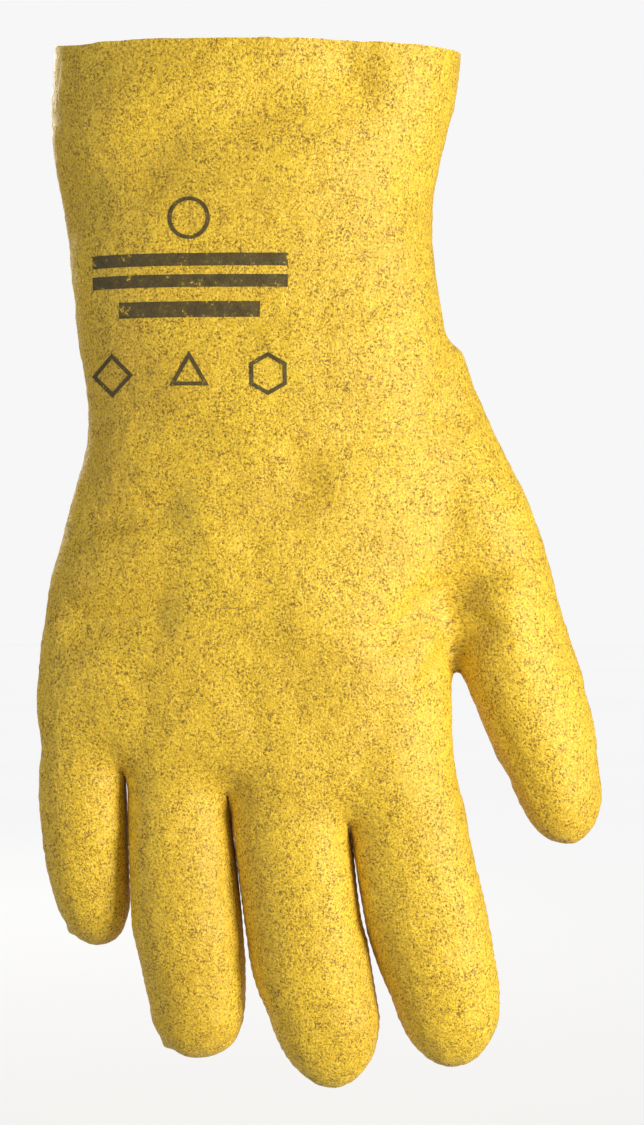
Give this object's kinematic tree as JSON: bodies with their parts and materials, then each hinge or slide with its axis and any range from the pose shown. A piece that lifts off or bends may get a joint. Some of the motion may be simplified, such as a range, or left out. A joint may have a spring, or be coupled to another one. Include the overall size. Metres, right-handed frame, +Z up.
{
  "type": "coated work glove",
  "caption": "Right-hand gauntlet work glove with a rough yellow dipped coating over a knitted liner; wrist, fingers and thumb bend.",
  "frame": {"origin": "centre of the open cuff, in the plane of its rim", "axes": "+Z up and out of the cuff along the glove's length, fingers pointing down; -Y towards the back of the hand, +Y towards the palm side; +X towards the thumb"},
  "size_m": [0.1683, 0.0638, 0.306],
  "materials": {
    "coating": "rough grained, semi-matte",
    "liner": "knitted cotton",
    "seam": "overlocked cotton thread",
    "ink": "printed ink"
  },
  "bodies": {
    "cuff": {"cuff_coating": "coating", "cuff_liner_back": "liner", "cuff_liner_palm": "liner", "cuff_liner_seams": "seam", "cuff_marking": "ink"},
    "hand": {"wrist_bend": "coating", "hand_coating": "coating", "hand_liner_back": "liner", "hand_liner_palm": "liner", "hand_liner_seams": "seam"},
    "little_base": {"little_base_bend": "coating", "little_base_coating": "coating", "little_base_liner": "liner"},
    "little_middle": {"little_middle_bend": "coating", "little_middle_coating": "coating", "little_middle_liner": "liner"},
    "little_tip": {"little_tip_bend": "coating", "little_tip_coating": "coating", "little_tip_liner": "liner"},
    "ring_base": {"ring_base_bend": "coating", "ring_base_coating": "coating", "ring_base_liner": "liner"},
    "ring_middle": {"ring_middle_bend": "coating", "ring_middle_coating": "coating", "ring_middle_liner": "liner"},
    "ring_tip": {"ring_tip_bend": "coating", "ring_tip_coating": "coating", "ring_tip_liner": "liner"},
    "middle_base": {"middle_base_bend": "coating", "middle_base_coating": "coating", "middle_base_liner": "liner"},
    "middle_middle": {"middle_middle_bend": "coating", "middle_middle_coating": "coating", "middle_middle_liner": "liner"},
    "middle_tip": {"middle_tip_bend": "coating", "middle_tip_coating": "coating", "middle_tip_liner": "liner"},
    "index_base": {"index_base_bend": "coating", "index_base_coating": "coating", "index_base_liner": "liner"},
    "index_middle": {"index_middle_bend": "coating", "index_middle_coating": "coating", "index_middle_liner": "liner"},
    "index_tip": {"index_tip_bend": "coating", "index_tip_coating": "coating", "index_tip_liner": "liner"},
    "thumb_base": {"thumb_base_bend": "coating", "thumb_base_coating": "coating", "thumb_base_liner": "liner"},
    "thumb_tip": {"thumb_tip_bend": "coating", "thumb_tip_coating": "coating", "thumb_tip_liner": "liner"}
  },
  "joints": [
    {"name": "wrist", "type": "hinge", "parent": "cuff", "child": "hand", "pos_m": [0, 0, -0.115], "axis": [1, 0, 0], "range_deg": [-30, 30], "stiffness_Nm_per_rad": 0.4, "deforming": ["wrist_bend"]},
    {"name": "little_base_bend", "type": "hinge", "parent": "hand", "child": "little_base", "pos_m": [-0.05111, 0.00327, -0.21567], "axis": [0.9962, 0, 0.0872], "range_deg": [-10, 55], "stiffness_Nm_per_rad": 0.1, "deforming": ["little_base_bend"]},
    {"name": "little_middle_bend", "type": "hinge", "parent": "little_base", "child": "little_middle", "pos_m": [-0.04947, 0.00561, -0.23449], "axis": [0.9962, 0, 0.0872], "range_deg": [-8, 60], "stiffness_Nm_per_rad": 0.06, "deforming": ["little_middle_bend"]},
    {"name": "little_tip_bend", "type": "hinge", "parent": "little_middle", "child": "little_tip", "pos_m": [-0.04811, 0.0094, -0.24996], "axis": [0.9962, 0, 0.0872], "range_deg": [-6, 30], "stiffness_Nm_per_rad": 0.04, "deforming": ["little_tip_bend"]},
    {"name": "ring_base_bend", "type": "hinge", "parent": "hand", "child": "ring_base", "pos_m": [-0.02239, 0.00117, -0.22386], "axis": [0.9962, 0, 0.0872], "range_deg": [-10, 60], "stiffness_Nm_per_rad": 0.1, "deforming": ["ring_base_bend"]},
    {"name": "ring_middle_bend", "type": "hinge", "parent": "ring_base", "child": "ring_middle", "pos_m": [-0.02019, 0.00288, -0.24899], "axis": [0.9962, 0, 0.0872], "range_deg": [-8, 75], "stiffness_Nm_per_rad": 0.06, "deforming": ["ring_middle_bend"]},
    {"name": "ring_tip_bend", "type": "hinge", "parent": "ring_middle", "child": "ring_tip", "pos_m": [-0.01827, 0.00591, -0.27097], "axis": [0.9962, 0, 0.0872], "range_deg": [-6, 40], "stiffness_Nm_per_rad": 0.04, "deforming": ["ring_tip_bend"]},
    {"name": "middle_base_bend", "type": "hinge", "parent": "hand", "child": "middle_base", "pos_m": [0.01167, 0.00016, -0.23164], "axis": [0.9848, 0, 0.1736], "range_deg": [-10, 60], "stiffness_Nm_per_rad": 0.1, "deforming": ["middle_base_bend"]},
    {"name": "middle_middle_bend", "type": "hinge", "parent": "middle_base", "child": "middle_middle", "pos_m": [0.01629, 0.00175, -0.25783], "axis": [0.9848, 0, 0.1736], "range_deg": [-8, 75], "stiffness_Nm_per_rad": 0.06, "deforming": ["middle_middle_bend"]},
    {"name": "middle_tip_bend", "type": "hinge", "parent": "middle_middle", "child": "middle_tip", "pos_m": [0.02033, 0.00456, -0.28074], "axis": [0.9848, 0, 0.1736], "range_deg": [-6, 40], "stiffness_Nm_per_rad": 0.04, "deforming": ["middle_tip_bend"]},
    {"name": "index_base_bend", "type": "hinge", "parent": "hand", "child": "index_base", "pos_m": [0.04821, 0.00118, -0.2393], "axis": [0.9781, 0, 0.2079], "range_deg": [-10, 60], "stiffness_Nm_per_rad": 0.1, "deforming": ["index_base_bend"]},
    {"name": "index_middle_bend", "type": "hinge", "parent": "index_base", "child": "index_middle", "pos_m": [0.0531, 0.00274, -0.26228], "axis": [0.9781, 0, 0.2079], "range_deg": [-8, 65], "stiffness_Nm_per_rad": 0.06, "deforming": ["index_middle_bend"]},
    {"name": "index_tip_bend", "type": "hinge", "parent": "index_middle", "child": "index_tip", "pos_m": [0.05716, 0.00526, -0.28142], "axis": [0.9781, 0, 0.2079], "range_deg": [-6, 35], "stiffness_Nm_per_rad": 0.04, "deforming": ["index_tip_bend"]},
    {"name": "thumb_base_bend", "type": "hinge", "parent": "hand", "child": "thumb_base", "pos_m": [0.08326, 0.00612, -0.18893], "axis": [0.7243, 0.6428, 0.2494], "range_deg": [-8, 35], "stiffness_Nm_per_rad": 0.1, "deforming": ["thumb_base_bend"]},
    {"name": "thumb_tip_bend", "type": "hinge", "parent": "thumb_base", "child": "thumb_tip", "pos_m": [0.08925, 0.0076, -0.21013], "axis": [0.7243, 0.6428, 0.2494], "range_deg": [-6, 45], "stiffness_Nm_per_rad": 0.04, "deforming": ["thumb_tip_bend"]}
  ]
}
